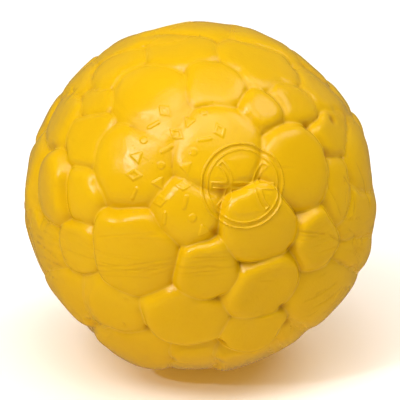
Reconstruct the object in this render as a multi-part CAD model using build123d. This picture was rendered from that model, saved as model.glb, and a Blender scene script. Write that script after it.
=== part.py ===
from build123d import *
import os
import itertools
import numpy as np

# Cobbled play ball, 84 mm across: a thick moulded rubber cover in two halves
# round a foam core. The halves meet on the equator, Z = 0, in a tongue-and-
# groove rim that is filled with rubber cement. Millimetres, +Z through the
# upper half, origin at the ball's centre.

os.makedirs("parts", exist_ok=True)

# ---- driving dimensions ----
BALL_DIA = 84.0          # across the lobes
MEAN_CENTRE = 22.5       # distance of a mean lobe sphere's centre from the origin
MEAN_LOBE_R = 19.5       # radius of that sphere, so 22.5 + 19.5 = 42
CORE_R = 36.5            # inside radius of the cover
CORE_GLUE_GAP = 0.05     # skin of adhesive between core and cover
TONGUE_R_IN = 37.6       # rim joint
TONGUE_R_OUT = 38.6
TONGUE_H = 1.0
GROOVE_DEPTH = 1.3
BIG = 80.0

# One row per lobe: azimuth and elevation of the lobe's axis in degrees, and
# the distance of its sphere's centre from the origin in mm. A larger distance
# makes a lobe that is wider and stands a little higher.
LOBES = [
    (-120.6,  53.1, 22.72), ( -80.6,  57.7, 22.35), ( -59.6,  47.1, 22.22), ( -39.0,  47.2, 22.40),
    ( -36.2,  62.9, 22.72), (  10.1,  68.0, 22.60), (-122.4,  75.4, 22.57), (  95.8,  84.2, 22.57),
    (-152.8,  58.0, 22.52), (-174.4,  61.0, 22.37), (-144.1,  45.6, 22.38), (-171.0,  47.3, 22.40),
    (-164.7,  33.8, 22.65), (-136.8,  34.4, 22.46), (-133.5,  16.8, 22.36), (-133.1,  -1.2, 22.31),
    (-170.7,  17.3, 22.54), (-149.5,  12.4, 22.68), (-152.1,  -5.6, 22.50), (-142.1, -23.3, 22.61),
    (-115.7,  30.2, 22.70), (-106.4,  42.5, 22.23), ( -83.1,  35.6, 22.73), ( -16.4,  16.6, 22.71),
    ( -93.4,  14.6, 22.38), (-110.5,   0.9, 22.72), ( -87.2,  -3.0, 22.45), ( -71.9,  10.9, 22.60),
    ( -52.8,  26.6, 22.67), ( -27.0,  31.7, 22.48), ( -18.0,  46.2, 22.47), ( -33.8,  14.6, 22.47),
    ( -47.1,   3.7, 22.24), ( -24.8,   2.2, 22.61), ( -28.5, -10.7, 22.51), ( -37.0, -23.4, 22.91),
    ( -69.8, -10.7, 22.34), ( -94.9, -21.9, 22.49), ( -66.9, -36.2, 22.33), (-121.1, -23.7, 22.39),
    (-119.5, -41.8, 22.70), ( -90.6, -48.8, 22.43), ( -63.6, -47.7, 22.65), ( -46.3, -35.6, 22.42),
    ( 157.2,  40.8, 22.50), (  86.6, -29.1, 22.51), ( 100.8,  37.4, 22.47), (  39.8,  22.3, 22.50),
    ( 157.2, -21.8, 22.53), (  36.8, -20.5, 22.48), (  23.2, -49.1, 22.49), (-144.0, -89.8, 22.47),
    ( 126.4,  16.3, 22.51), (  59.3,  42.7, 22.51), (  76.2,  10.7, 22.50), (  34.1, -36.4, 22.50),
    (  22.9, -10.0, 22.51), ( 118.5,  49.3, 22.50), (-163.7, -56.6, 22.51), (  35.0,  36.4, 22.50),
    ( 106.5, -13.5, 22.50), (   3.9, -10.1, 22.48), (  55.2,   8.3, 22.50), ( 124.2, -45.9, 22.53),
    ( 156.8,  14.8, 22.51), ( -24.9, -47.1, 22.50), ( 134.2,  37.7, 22.50), ( 175.6,   5.1, 22.50),
    (-177.3, -15.3, 22.48), (  62.9,  63.5, 22.51), (  89.8,  -3.4, 22.52), ( 142.1,   0.3, 22.52),
    (  71.8, -49.0, 22.49), (  93.6,  19.1, 22.50), (  40.0, -63.0, 22.51), (  69.4, -23.2, 22.48),
    (-110.2, -69.5, 22.52), ( 114.6,  29.3, 22.50), (  76.9,  32.5, 22.49), (  60.5,  24.1, 22.49),
    (  40.2,  53.0, 22.51), (-179.6, -71.7, 22.51), (  12.9,  20.9, 22.50), ( 146.6,  57.0, 22.46),
    ( -52.7, -65.5, 22.51), (  -0.6, -26.4, 22.30), ( 143.2,  23.0, 22.50), ( 179.4, -35.2, 22.52),
    ( 132.0, -22.7, 22.49), ( 170.6,  28.1, 22.49), ( 133.3, -62.9, 22.47), (  67.8,  -7.2, 22.49),
    (   4.3,   1.6, 22.46), ( 109.0, -31.1, 22.50), (  88.3,  51.6, 22.49), (  17.9, -28.2, 22.47),
    ( 108.5,  10.9, 22.47), (   0.2, -41.7, 22.52), (  23.3,   9.3, 22.50), (  53.7, -28.2, 22.49),
    (  -6.7, -65.7, 22.50), (-151.8, -40.9, 22.46), (  38.2,   3.8, 22.50), ( 101.5, -49.2, 22.47),
    (  50.6,  -9.0, 22.52), ( 154.1, -45.4, 22.50), (  53.3, -43.3, 22.50), ( 163.6,  -3.7, 22.50),
    (  16.7,  48.1, 22.50), (  80.9, -68.3, 22.48), ( 111.1,  67.7, 22.50), ( 121.3,   0.2, 22.52),
    (  13.8,  34.7, 22.45),
]

# All lobe spheres have the same power K about the origin, r^2 = d^2 + K, so
# the crease between two neighbours lies in a plane through the origin.
K = MEAN_LOBE_R ** 2 - MEAN_CENTRE ** 2


def unit(v):
    return v / np.linalg.norm(v)


def centre_of(az, el, d):
    a, e = np.radians(az), np.radians(el)
    return d * np.array([np.cos(e) * np.cos(a), np.cos(e) * np.sin(a), np.sin(e)])


centres = np.array([centre_of(*row) for row in LOBES])
radii = np.sqrt((centres ** 2).sum(1) + K)

# ---- junctions: directions where three lobes meet ----
# They are the outward normals of the facets of the convex hull of the centres.
count = len(centres)
triples = np.array(list(itertools.combinations(range(count), 3)))
p0, p1, p2 = (centres[triples[:, k]] for k in range(3))
normals = np.cross(p1 - p0, p2 - p0)
lengths = np.linalg.norm(normals, axis=1)
keep = lengths > 1e-6
triples, normals, p0 = triples[keep], normals[keep] / lengths[keep][:, None], p0[keep]
offsets = (normals * p0).sum(1)
normals[offsets < 0] *= -1
offsets = np.abs(offsets)
junctions = [[] for _ in range(count)]
for start in range(0, len(triples), 20000):
    stop = start + 20000
    heights = normals[start:stop] @ centres.T - offsets[start:stop][:, None]
    for row in np.nonzero((heights > 1e-7).sum(1) == 0)[0]:
        for lobe in triples[start + row]:
            junctions[lobe].append(normals[start + row])


def ordered(lobe):
    """The lobe's junction directions, in turn round its axis."""
    axis = unit(np.mean(junctions[lobe], axis=0))
    side = unit(np.cross(axis, [0.31, 0.52, 0.79]))
    up = np.cross(axis, side)
    return axis, sorted(junctions[lobe], key=lambda v: np.arctan2(v @ up, v @ side))


def face_of(*points):
    return Face(Wire.make_polygon([Vector(*p) for p in points], close=True))


def cell(lobe, inner=30.0, outer=62.0):
    """Closed wedge over the lobe, with sides through the origin."""
    axis, corners = ordered(lobe)
    faces = []
    for a, b in zip(corners, corners[1:] + corners[:1]):
        faces.append(face_of(inner * a, inner * b, outer * b, outer * a))
        faces.append(face_of(outer * a, outer * b, outer * axis))
        faces.append(face_of(inner * a, inner * b, inner * 0.97 * axis))
    return Solid(Shell(faces))


def lobe_face(lobe):
    """The part of the lobe's sphere that shows, as one spherical face."""
    c, r = centres[lobe], float(radii[lobe])
    n = unit(c)
    side = unit(np.cross(n, [0.31, 0.52, 0.79]))
    # the sphere's own seam and poles are turned away from the lobe's cap
    ball = Solid.make_sphere(r, Plane(origin=Vector(*c), x_dir=Vector(*(-n)), z_dir=Vector(*side)))
    piece = ball.intersect(cell(lobe))
    piece = piece[0] if isinstance(piece, (list, tuple)) else piece
    found = [f for f in piece.faces() if f.geom_type == GeomType.SPHERE]
    if len(found) != 1:
        raise ValueError("lobe %d gives %d faces" % (lobe, len(found)))
    return found[0]


outer_faces = [lobe_face(i) for i in range(count)]
ball = Solid(Shell(outer_faces))
if ball.volume < 0:
    ball = Solid(Shell([-f for f in outer_faces]))

# ---- the halves ----
core_space = Solid.make_sphere(CORE_R)
rubber = ball - core_space
upper_side = Pos(0, 0, BIG / 2) * Box(BIG * 2, BIG * 2, BIG)
lower_side = Pos(0, 0, -BIG / 2) * Box(BIG * 2, BIG * 2, BIG)


def ring(r_in, r_out, z_low, z_high):
    tall = z_high - z_low
    return Pos(0, 0, (z_low + z_high) / 2) * (Cylinder(r_out, tall) - Cylinder(r_in, tall))


tongue = ring(TONGUE_R_IN, TONGUE_R_OUT, -TONGUE_H, 0.0)
groove = ring(TONGUE_R_IN, TONGUE_R_OUT, -GROOVE_DEPTH, 0.0)
cement = ring(TONGUE_R_IN, TONGUE_R_OUT, -GROOVE_DEPTH, -TONGUE_H)

upper_cover = (rubber & upper_side) + tongue
lower_cover = (rubber & lower_side) - groove
foam_core = Solid.make_sphere(CORE_R - CORE_GLUE_GAP)

for name, shape in (
    ("upper_cover", upper_cover),
    ("lower_cover", lower_cover),
    ("foam_core", foam_core),
    ("seam_bond", cement),
):
    box = shape.bounding_box()
    print(name, "solids", len(shape.solids()), "volume %.1f" % shape.volume,
          "box", [round(v, 2) for v in (*box.min, *box.max)])
    export_step(shape, "parts/%s.step" % name)
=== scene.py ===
import math
import bpy
import numpy as np
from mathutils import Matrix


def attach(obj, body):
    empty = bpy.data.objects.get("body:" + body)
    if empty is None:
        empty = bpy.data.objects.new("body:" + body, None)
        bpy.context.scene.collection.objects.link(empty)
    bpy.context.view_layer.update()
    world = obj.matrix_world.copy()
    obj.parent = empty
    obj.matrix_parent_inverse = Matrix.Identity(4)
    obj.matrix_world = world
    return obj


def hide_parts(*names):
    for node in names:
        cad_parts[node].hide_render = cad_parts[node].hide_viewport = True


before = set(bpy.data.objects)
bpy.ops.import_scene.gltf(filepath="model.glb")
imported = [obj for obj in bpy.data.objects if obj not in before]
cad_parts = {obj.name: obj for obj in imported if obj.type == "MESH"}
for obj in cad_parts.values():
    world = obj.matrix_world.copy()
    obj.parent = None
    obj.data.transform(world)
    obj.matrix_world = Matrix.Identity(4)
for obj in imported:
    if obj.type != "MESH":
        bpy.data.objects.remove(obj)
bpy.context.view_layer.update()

SEED = 20742
MM = 0.001

# ---------------------------------------------------------------- shape data
BALL_R = 42.0            # mm, to the tops of the lobes
CORE_R = 36.5            # mm, inside of the cover
TONGUE_IN, TONGUE_OUT = 37.6, 38.6
TONGUE_H, GROOVE_D = 1.0, 1.3

# One row per lobe: azimuth and elevation of its middle in degrees, the height
# of its top in mm, its slope to the east and to the north, how much more it is
# curved than the ball in 1/mm, how far it drops to its outline in mm and over
# what width, then its outline as 16 radii in mm, every 22.5 degrees from local
# east through local north.
LOBES = [
    (-118.8, 53.9, 0.38, 0.028, -0.038, 0.0068, 0.34, 1.42, 9.7, 9.0, 8.7, 8.2, 8.0, 8.6, 9.6, 10.2, 9.4, 8.6, 8.7, 8.9, 8.5, 8.5, 9.2, 9.8),
    (-81.1, 58.2, 0.13, -0.027, -0.009, -0.0048, 0.61, 0.92, 7.5, 7.0, 7.0, 7.3, 7.0, 8.0, 7.9, 6.6, 6.5, 7.4, 8.2, 6.9, 6.6, 7.3, 7.4, 7.3),
    (-60.6, 46.8, 0.80, -0.018, -0.070, 0.0020, 0.96, 1.05, 4.8, 4.6, 4.8, 5.4, 5.7, 5.2, 4.9, 5.2, 5.2, 4.9, 5.3, 5.5, 5.1, 5.0, 5.2, 5.2),
    (-40.8, 45.7, 0.09, -0.042, 0.034, -0.0127, 0.69, 1.25, 6.0, 5.7, 5.5, 5.4, 5.5, 6.2, 6.3, 5.4, 5.2, 6.2, 5.8, 5.2, 5.3, 5.5, 6.5, 6.3),
    (-39.0, 64.3, -0.36, -0.036, -0.012, -0.0100, 0.76, 1.14, 10.2, 8.5, 8.0, 8.6, 10.8, 10.7, 10.3, 9.6, 8.2, 9.8, 10.5, 8.6, 8.1, 10.7, 10.5, 9.7),
    (10.1, 68.0, 0.09, 0.010, -0.017, 0.0051, 0.38, 1.34, 8.5, 8.5, 9.1, 8.5, 8.5, 10.3, 8.7, 6.7, 6.2, 7.0, 10.0, 9.7, 8.0, 8.2, 8.2, 8.3),
    (-122.4, 75.4, -0.20, 0.023, -0.043, -0.0023, 0.54, 0.93, 11.1, 10.0, 9.7, 8.1, 7.0, 7.0, 8.7, 10.9, 8.9, 7.7, 7.3, 8.1, 7.6, 8.4, 9.8, 9.6),
    (95.8, 84.2, 0.01, -0.001, -0.015, 0.0015, 0.32, 1.33, 12.0, 9.3, 7.3, 6.9, 8.1, 10.2, 9.8, 8.1, 8.3, 8.9, 8.4, 8.4, 7.1, 6.6, 7.2, 9.8),
    (-153.9, 59.0, 0.06, 0.001, -0.011, 0.0054, 0.40, 1.08, 4.6, 6.2, 7.8, 7.5, 7.8, 7.4, 5.9, 5.9, 6.6, 7.0, 6.7, 7.1, 7.2, 7.9, 7.9, 5.5),
    (-174.4, 61.0, 0.04, 0.007, 0.034, -0.0058, 0.42, 1.21, 2.8, 3.0, 5.8, 8.6, 8.5, 10.6, 8.9, 7.2, 6.9, 8.1, 8.4, 5.5, 5.1, 3.9, 3.0, 2.4),
    (-145.1, 45.0, -0.12, 0.050, 0.021, 0.0010, 0.45, 0.83, 6.6, 5.5, 4.8, 4.4, 3.4, 3.7, 3.8, 5.8, 6.4, 4.9, 4.5, 4.4, 4.2, 3.9, 3.9, 4.9),
    (-171.0, 47.3, 0.02, -0.011, -0.031, -0.0018, 0.45, 1.38, 6.9, 5.6, 4.4, 3.9, 4.8, 5.5, 6.8, 9.0, 8.1, 8.7, 7.8, 4.7, 3.7, 3.0, 4.1, 6.1),
    (-164.7, 33.8, -0.34, 0.059, 0.018, -0.0053, 0.82, 1.32, 9.8, 9.4, 9.2, 7.7, 7.8, 7.1, 8.2, 9.7, 9.0, 8.9, 7.9, 6.8, 6.8, 7.3, 8.1, 10.3),
    (-138.0, 33.4, 0.02, 0.018, 0.013, -0.0060, 0.62, 0.85, 5.2, 6.0, 8.3, 7.8, 6.2, 5.8, 6.2, 7.3, 7.2, 7.0, 6.8, 7.4, 6.8, 6.7, 7.5, 6.1),
    (-131.5, 16.1, 0.53, 0.002, 0.043, 0.0024, 1.02, 1.38, 6.1, 5.4, 5.0, 5.6, 5.8, 6.2, 7.0, 6.4, 5.5, 5.5, 6.1, 6.9, 6.5, 7.2, 7.2, 6.4),
    (-132.5, -2.0, -0.10, 0.019, 0.045, -0.0147, 0.75, 0.84, 6.6, 6.6, 7.1, 6.7, 5.9, 6.1, 6.8, 6.6, 6.4, 6.6, 7.4, 7.5, 6.9, 6.7, 7.0, 6.8),
    (-170.7, 17.3, -0.05, 0.032, -0.073, 0.0017, 0.50, 1.53, 6.4, 7.2, 6.2, 5.7, 5.8, 7.4, 7.9, 7.9, 8.7, 7.1, 7.0, 7.5, 10.7, 11.6, 8.5, 7.0),
    (-149.5, 12.4, 0.82, 0.132, 0.126, 0.0102, 1.61, 1.31, 7.8, 7.4, 8.5, 9.0, 10.0, 9.5, 8.9, 7.5, 7.1, 8.0, 9.6, 9.7, 8.7, 8.7, 9.9, 9.8),
    (-152.1, -5.6, -0.10, -0.011, -0.022, 0.0015, 0.42, 1.40, 8.1, 8.8, 8.3, 5.2, 4.6, 4.6, 9.4, 12.0, 10.9, 9.6, 10.8, 10.6, 7.5, 6.9, 6.7, 8.4),
    (-142.1, -23.3, 0.70, -0.013, -0.062, 0.0077, 0.72, 1.17, 8.1, 9.8, 11.4, 9.5, 8.2, 7.5, 8.3, 10.0, 13.3, 11.3, 8.5, 7.9, 8.8, 9.2, 7.2, 8.7),
    (-114.6, 28.2, 0.43, -0.042, 0.019, 0.0016, 0.79, 1.59, 9.8, 10.0, 10.1, 8.4, 8.3, 9.9, 10.8, 10.0, 9.3, 8.9, 8.8, 9.7, 9.1, 9.1, 9.4, 9.6),
    (-101.0, 43.1, 0.07, -0.035, 0.005, 0.0009, 0.12, 1.26, 2.9, 3.5, 5.1, 4.7, 2.4, 2.2, 2.1, 2.6, 3.5, 4.5, 4.4, 3.9, 3.8, 3.0, 2.6, 2.4),
    (-83.2, 35.5, 0.54, 0.020, 0.011, 0.0042, 0.83, 1.51, 10.3, 10.6, 10.3, 10.5, 10.5, 10.9, 10.1, 10.1, 10.7, 11.6, 10.8, 9.5, 10.1, 9.7, 10.7, 10.1),
    (-16.4, 16.6, 0.16, 0.045, 0.007, 0.0111, 0.46, 1.25, 11.5, 11.0, 12.9, 12.4, 9.5, 8.3, 8.9, 9.0, 7.7, 7.5, 7.1, 6.8, 7.8, 10.7, 10.7, 10.4),
    (-94.1, 15.5, 0.52, -0.027, 0.032, -0.0006, 1.03, 1.45, 7.3, 7.4, 6.3, 6.0, 6.7, 7.4, 7.2, 7.1, 7.3, 7.2, 6.9, 7.2, 7.8, 7.3, 7.6, 7.6),
    (-111.2, 0.8, 0.97, -0.086, 0.086, 0.0097, 1.22, 1.00, 11.6, 11.4, 10.0, 10.7, 9.9, 9.7, 11.5, 10.5, 9.6, 10.4, 12.0, 12.0, 12.8, 12.4, 12.4, 11.0),
    (-87.3, -3.7, -0.27, -0.104, 0.088, -0.0201, 1.64, 1.12, 7.6, 7.3, 7.8, 8.5, 7.3, 7.4, 7.8, 7.4, 7.4, 8.2, 8.7, 8.7, 8.7, 8.4, 9.1, 8.9),
    (-70.9, 10.6, 0.61, -0.031, 0.115, 0.0068, 1.50, 0.95, 10.4, 8.8, 8.4, 9.6, 9.5, 8.9, 9.8, 9.5, 9.3, 9.8, 10.0, 10.1, 9.8, 10.6, 12.0, 11.7),
    (-53.4, 26.5, 0.65, -0.022, 0.106, -0.0037, 1.38, 1.53, 9.6, 9.2, 9.1, 9.3, 9.0, 9.3, 9.4, 9.3, 9.6, 9.2, 9.5, 9.9, 10.9, 11.8, 11.3, 10.4),
    (-27.0, 31.7, -0.20, -0.046, 0.046, -0.0083, 1.12, 1.01, 9.5, 9.3, 6.7, 5.8, 5.9, 6.0, 6.5, 8.7, 7.9, 7.4, 6.6, 6.0, 6.1, 5.3, 5.7, 6.4),
    (-18.0, 46.2, -0.15, -0.044, -0.038, -0.0042, 0.46, 1.53, 9.0, 8.5, 8.9, 6.9, 6.1, 5.1, 5.1, 6.1, 5.6, 6.2, 6.2, 6.5, 6.5, 9.5, 11.6, 9.9),
    (-36.0, 14.8, -0.37, -0.002, -0.006, -0.0050, 0.85, 1.37, 5.4, 5.7, 7.4, 7.6, 7.4, 7.1, 5.6, 5.4, 5.6, 5.9, 6.6, 8.0, 8.1, 6.6, 5.6, 5.1),
    (-49.3, 1.6, -0.34, -0.018, 0.048, -0.0302, 1.59, 1.33, 7.6, 6.6, 6.4, 7.2, 7.3, 7.0, 7.1, 6.4, 6.6, 6.4, 6.8, 8.0, 8.4, 8.9, 8.9, 9.0),
    (-24.8, 2.2, 0.08, 0.071, -0.002, -0.0002, 0.42, 1.10, 10.1, 7.1, 5.2, 4.8, 5.4, 7.5, 6.6, 6.9, 10.3, 8.9, 6.1, 5.8, 5.8, 7.4, 10.9, 12.2),
    (-28.5, -10.7, 0.39, 0.102, 0.004, 0.0170, 0.38, 1.20, 11.1, 7.0, 4.4, 4.1, 4.0, 5.4, 8.3, 9.8, 6.1, 3.5, 2.8, 2.8, 3.2, 4.7, 10.1, 12.6),
    (-37.0, -23.4, 0.66, 0.024, -0.061, 0.0081, 0.40, 1.36, 13.4, 10.1, 8.3, 8.0, 8.7, 11.4, 14.8, 15.0, 13.8, 11.1, 9.0, 9.1, 10.3, 11.3, 12.2, 14.4),
    (-67.6, -12.4, -1.02, -0.040, 0.055, -0.0340, 1.90, 1.45, 9.4, 9.4, 9.3, 9.1, 8.2, 7.9, 8.5, 8.5, 9.3, 10.4, 10.5, 10.0, 9.5, 9.8, 9.3, 9.2),
    (-94.4, -22.9, 0.28, -0.083, -0.035, -0.0030, 1.26, 1.15, 10.8, 10.2, 8.5, 7.7, 9.5, 10.0, 10.0, 10.8, 9.7, 9.5, 9.4, 9.1, 9.0, 9.1, 10.5, 10.5),
    (-69.8, -30.9, 0.13, 0.026, -0.140, -0.0079, 0.47, 0.45, 6.6, 8.6, 7.9, 5.8, 5.4, 6.1, 8.5, 8.5, 7.9, 6.8, 6.2, 5.9, 6.0, 6.3, 6.2, 6.3),
    (-119.9, -21.4, 0.29, -0.098, -0.030, -0.0008, 0.50, 1.11, 6.9, 7.7, 7.0, 6.3, 7.2, 7.9, 7.3, 7.0, 7.2, 7.4, 7.8, 6.9, 7.0, 7.2, 7.8, 7.5),
    (-119.5, -41.8, 0.71, -0.054, -0.078, -0.0029, 0.78, 1.27, 10.3, 11.3, 11.1, 8.7, 7.5, 9.5, 9.2, 9.8, 10.5, 9.9, 12.2, 12.3, 11.2, 10.9, 9.7, 9.2),
    (-90.6, -48.8, 0.30, -0.063, 0.007, -0.0012, 0.80, 1.31, 5.2, 5.2, 7.1, 9.7, 9.2, 9.4, 8.9, 6.5, 6.7, 7.6, 9.0, 7.8, 8.5, 9.1, 6.8, 5.3),
    (-63.6, -47.7, 0.34, -0.049, -0.030, -0.0020, 0.53, 0.85, 9.8, 7.8, 9.0, 8.8, 6.1, 4.9, 8.3, 10.9, 8.1, 8.0, 9.5, 9.7, 7.9, 7.7, 9.1, 10.3),
    (-46.3, -35.6, 0.17, -0.038, -0.089, 0.0074, 0.26, 1.24, 3.0, 2.2, 1.8, 1.9, 2.3, 3.4, 9.0, 8.1, 5.9, 5.5, 5.0, 5.4, 6.9, 7.7, 6.7, 6.5),
    (157.2, 40.8, -0.22, 0.034, 0.031, -0.0010, 0.68, 0.99, 8.7, 9.3, 9.7, 9.4, 7.2, 6.7, 7.0, 7.4, 6.5, 7.3, 7.8, 8.5, 8.7, 6.6, 6.1, 6.4),
    (86.6, -29.1, -0.16, -0.001, 0.019, -0.0064, 1.09, 1.08, 7.5, 8.5, 9.1, 9.3, 9.5, 9.4, 7.4, 7.0, 6.4, 7.8, 9.1, 8.5, 8.9, 8.8, 8.8, 7.4),
    (100.8, 37.4, -0.17, -0.003, -0.009, 0.0029, 0.93, 1.06, 5.7, 7.0, 6.4, 6.9, 6.8, 5.8, 6.2, 7.6, 7.4, 7.6, 7.9, 6.9, 7.5, 6.2, 5.0, 4.8),
    (39.8, 22.3, -0.24, 0.017, -0.022, -0.0051, 0.84, 0.97, 7.0, 7.1, 8.7, 7.0, 5.3, 5.5, 6.1, 8.8, 9.4, 7.7, 7.4, 7.0, 6.7, 7.7, 7.9, 7.7),
    (157.2, -21.8, -0.40, -0.020, -0.012, -0.0038, 0.42, 1.11, 9.4, 9.6, 8.3, 7.0, 7.7, 9.2, 10.2, 9.9, 8.8, 9.2, 10.6, 9.1, 8.7, 9.8, 8.9, 8.8),
    (36.8, -20.5, -0.14, -0.006, -0.019, 0.0025, 0.91, 1.04, 6.9, 6.7, 6.1, 7.2, 8.6, 7.0, 5.9, 6.7, 7.4, 7.2, 6.8, 5.8, 5.3, 7.0, 6.9, 6.3),
    (23.2, -49.1, -0.17, 0.026, -0.005, -0.0023, 0.83, 1.15, 8.1, 6.6, 5.5, 5.3, 6.8, 8.3, 7.3, 6.3, 6.5, 8.0, 8.7, 8.3, 7.0, 5.9, 6.2, 7.4),
    (-144.0, -89.8, -0.13, -0.032, -0.017, -0.0024, 0.37, 1.13, 9.4, 8.7, 6.8, 7.1, 7.7, 6.8, 6.5, 7.7, 9.8, 8.7, 7.9, 8.8, 9.7, 8.9, 8.7, 9.7),
    (126.4, 16.3, -0.17, -0.018, 0.035, 0.0043, 0.89, 1.18, 7.4, 6.4, 6.8, 8.0, 7.8, 6.4, 6.2, 7.3, 7.5, 7.1, 7.0, 6.0, 6.4, 7.7, 8.2, 8.5),
    (59.3, 42.7, -0.13, -0.033, 0.015, 0.0034, 0.36, 1.17, 7.7, 8.6, 8.3, 8.1, 7.3, 6.6, 6.1, 6.6, 7.1, 7.4, 9.0, 7.9, 6.8, 7.4, 6.5, 6.1),
    (76.2, 10.7, -0.25, 0.020, -0.011, 0.0009, 0.83, 0.92, 7.7, 6.9, 7.7, 8.3, 8.1, 8.0, 7.4, 7.8, 7.5, 7.8, 8.1, 7.6, 8.3, 7.6, 6.9, 7.6),
    (34.1, -36.4, -0.17, -0.003, 0.012, -0.0011, 0.99, 1.22, 6.6, 7.0, 7.2, 6.1, 6.2, 7.2, 6.4, 5.6, 7.1, 7.3, 5.9, 5.5, 6.3, 7.2, 6.3, 6.0),
    (22.9, -10.0, -0.24, 0.016, 0.031, 0.0082, 0.40, 1.28, 8.2, 8.3, 7.6, 7.8, 6.9, 8.0, 8.6, 7.8, 6.9, 7.6, 8.3, 7.0, 7.5, 7.5, 6.5, 6.5),
    (118.5, 49.3, -0.18, -0.002, -0.025, 0.0060, 0.47, 1.21, 7.6, 7.2, 6.8, 7.5, 6.8, 7.4, 8.0, 7.4, 7.6, 6.5, 6.1, 7.4, 7.9, 6.9, 5.8, 6.4),
    (-163.7, -56.6, -0.09, -0.040, -0.008, -0.0042, 0.80, 1.40, 11.2, 8.3, 7.3, 6.8, 7.9, 8.8, 8.9, 10.3, 10.8, 9.3, 6.6, 6.3, 6.4, 8.0, 9.6, 10.8),
    (35.0, 36.4, -0.02, -0.044, -0.014, 0.0038, 1.10, 1.18, 8.3, 7.5, 7.5, 6.1, 6.0, 6.7, 6.6, 6.9, 6.8, 7.6, 9.2, 7.2, 5.3, 5.3, 5.8, 8.3),
    (106.5, -13.5, -0.30, 0.007, -0.000, 0.0002, 0.59, 1.18, 9.5, 7.4, 7.2, 8.2, 9.4, 8.9, 7.3, 6.8, 8.1, 9.4, 8.7, 7.7, 6.8, 6.7, 8.0, 10.0),
    (3.9, -10.1, -0.20, -0.002, -0.006, -0.0041, 0.64, 1.34, 6.8, 7.3, 6.5, 4.6, 4.3, 4.6, 7.1, 10.5, 11.7, 11.3, 8.6, 7.3, 7.8, 8.1, 8.2, 7.4),
    (55.2, 8.3, -0.24, -0.036, 0.033, 0.0031, 1.20, 1.11, 7.9, 7.9, 7.1, 6.1, 6.7, 7.4, 7.5, 7.5, 6.4, 6.3, 7.8, 6.9, 6.4, 7.1, 7.4, 8.2),
    (124.2, -45.9, -0.26, -0.036, 0.033, 0.0113, 0.57, 0.97, 7.8, 9.7, 10.2, 8.8, 9.2, 7.8, 7.2, 7.5, 6.4, 5.9, 7.0, 8.4, 7.2, 6.8, 7.9, 8.0),
    (156.8, 14.8, -0.16, -0.021, -0.007, -0.0004, 0.79, 1.32, 8.4, 7.9, 6.8, 7.1, 8.4, 7.0, 6.0, 6.0, 6.9, 7.9, 7.2, 8.4, 7.7, 7.3, 8.0, 7.8),
    (-24.9, -47.1, -0.22, 0.023, -0.010, 0.0023, 0.35, 0.81, 6.5, 6.6, 8.4, 10.7, 8.9, 8.2, 8.0, 7.9, 8.5, 8.4, 8.5, 9.1, 8.8, 7.5, 8.8, 8.0),
    (134.2, 37.7, -0.15, -0.015, 0.014, 0.0032, 1.04, 1.26, 7.2, 6.3, 7.3, 8.4, 7.6, 6.0, 6.1, 7.2, 7.1, 6.4, 7.5, 8.3, 7.1, 6.2, 6.3, 7.5),
    (175.6, 5.1, -0.12, -0.003, -0.017, -0.0019, 0.64, 0.87, 9.0, 6.3, 6.2, 7.1, 8.6, 8.9, 8.4, 8.0, 6.8, 5.2, 5.1, 6.1, 8.4, 8.5, 9.2, 11.6),
    (-177.3, -15.3, -0.29, -0.002, 0.006, -0.0004, 0.35, 1.09, 10.0, 9.3, 10.8, 10.7, 8.3, 8.6, 8.0, 7.6, 8.8, 9.5, 8.8, 7.3, 7.3, 8.2, 11.8, 12.4),
    (62.9, 63.5, -0.20, 0.027, 0.014, -0.0016, 0.59, 1.50, 7.8, 7.6, 7.8, 8.2, 8.0, 8.3, 7.2, 7.3, 7.0, 6.0, 6.1, 7.0, 8.2, 8.0, 6.7, 6.3),
    (89.8, -3.4, -0.14, 0.046, 0.053, -0.0023, 0.83, 1.19, 8.9, 9.1, 8.4, 8.9, 8.9, 8.2, 7.1, 7.8, 8.2, 8.4, 10.3, 10.1, 9.7, 8.8, 7.1, 7.4),
    (142.1, 0.3, -0.16, 0.014, 0.005, 0.0017, 0.42, 1.07, 8.7, 8.3, 7.3, 8.4, 8.7, 8.5, 8.0, 8.1, 7.7, 8.6, 9.6, 9.2, 10.5, 10.0, 8.9, 8.2),
    (71.8, -49.0, -0.30, 0.003, -0.012, 0.0035, 0.93, 1.16, 7.1, 8.6, 8.6, 8.3, 9.7, 8.3, 5.5, 5.0, 5.5, 7.0, 7.6, 7.7, 7.6, 8.0, 8.5, 7.3),
    (93.6, 19.1, -0.19, 0.002, -0.011, 0.0003, 0.64, 1.18, 7.2, 8.2, 8.1, 7.4, 7.8, 7.9, 7.1, 8.1, 7.8, 6.6, 7.6, 8.5, 8.7, 8.1, 6.4, 6.0),
    (40.0, -63.0, -0.22, 0.015, -0.033, 0.0046, 0.58, 0.95, 7.8, 8.5, 7.8, 7.8, 7.9, 7.1, 6.3, 7.0, 8.1, 7.6, 7.4, 9.4, 10.0, 7.9, 6.8, 6.9),
    (69.4, -23.2, -0.25, -0.014, 0.007, -0.0013, 0.51, 0.93, 6.0, 8.9, 9.5, 6.6, 5.9, 5.8, 7.4, 7.6, 5.9, 5.7, 5.7, 7.7, 9.6, 8.2, 6.1, 5.9),
    (-110.2, -69.5, -0.09, 0.001, -0.029, 0.0010, 0.41, 1.46, 8.6, 9.6, 8.6, 8.8, 10.1, 10.0, 11.2, 10.4, 9.5, 8.6, 8.0, 8.3, 7.5, 8.5, 9.0, 8.3),
    (114.6, 29.3, -0.38, 0.012, 0.014, -0.0048, 0.82, 1.30, 7.7, 6.7, 7.0, 7.6, 7.2, 6.3, 5.7, 5.7, 6.6, 8.0, 7.9, 7.5, 7.4, 6.6, 6.0, 7.1),
    (76.9, 32.5, -0.18, 0.007, 0.024, 0.0016, 0.82, 1.07, 7.9, 7.3, 7.8, 7.6, 8.2, 7.4, 6.3, 6.8, 6.6, 5.8, 6.3, 7.9, 8.2, 8.4, 7.5, 7.7),
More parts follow.
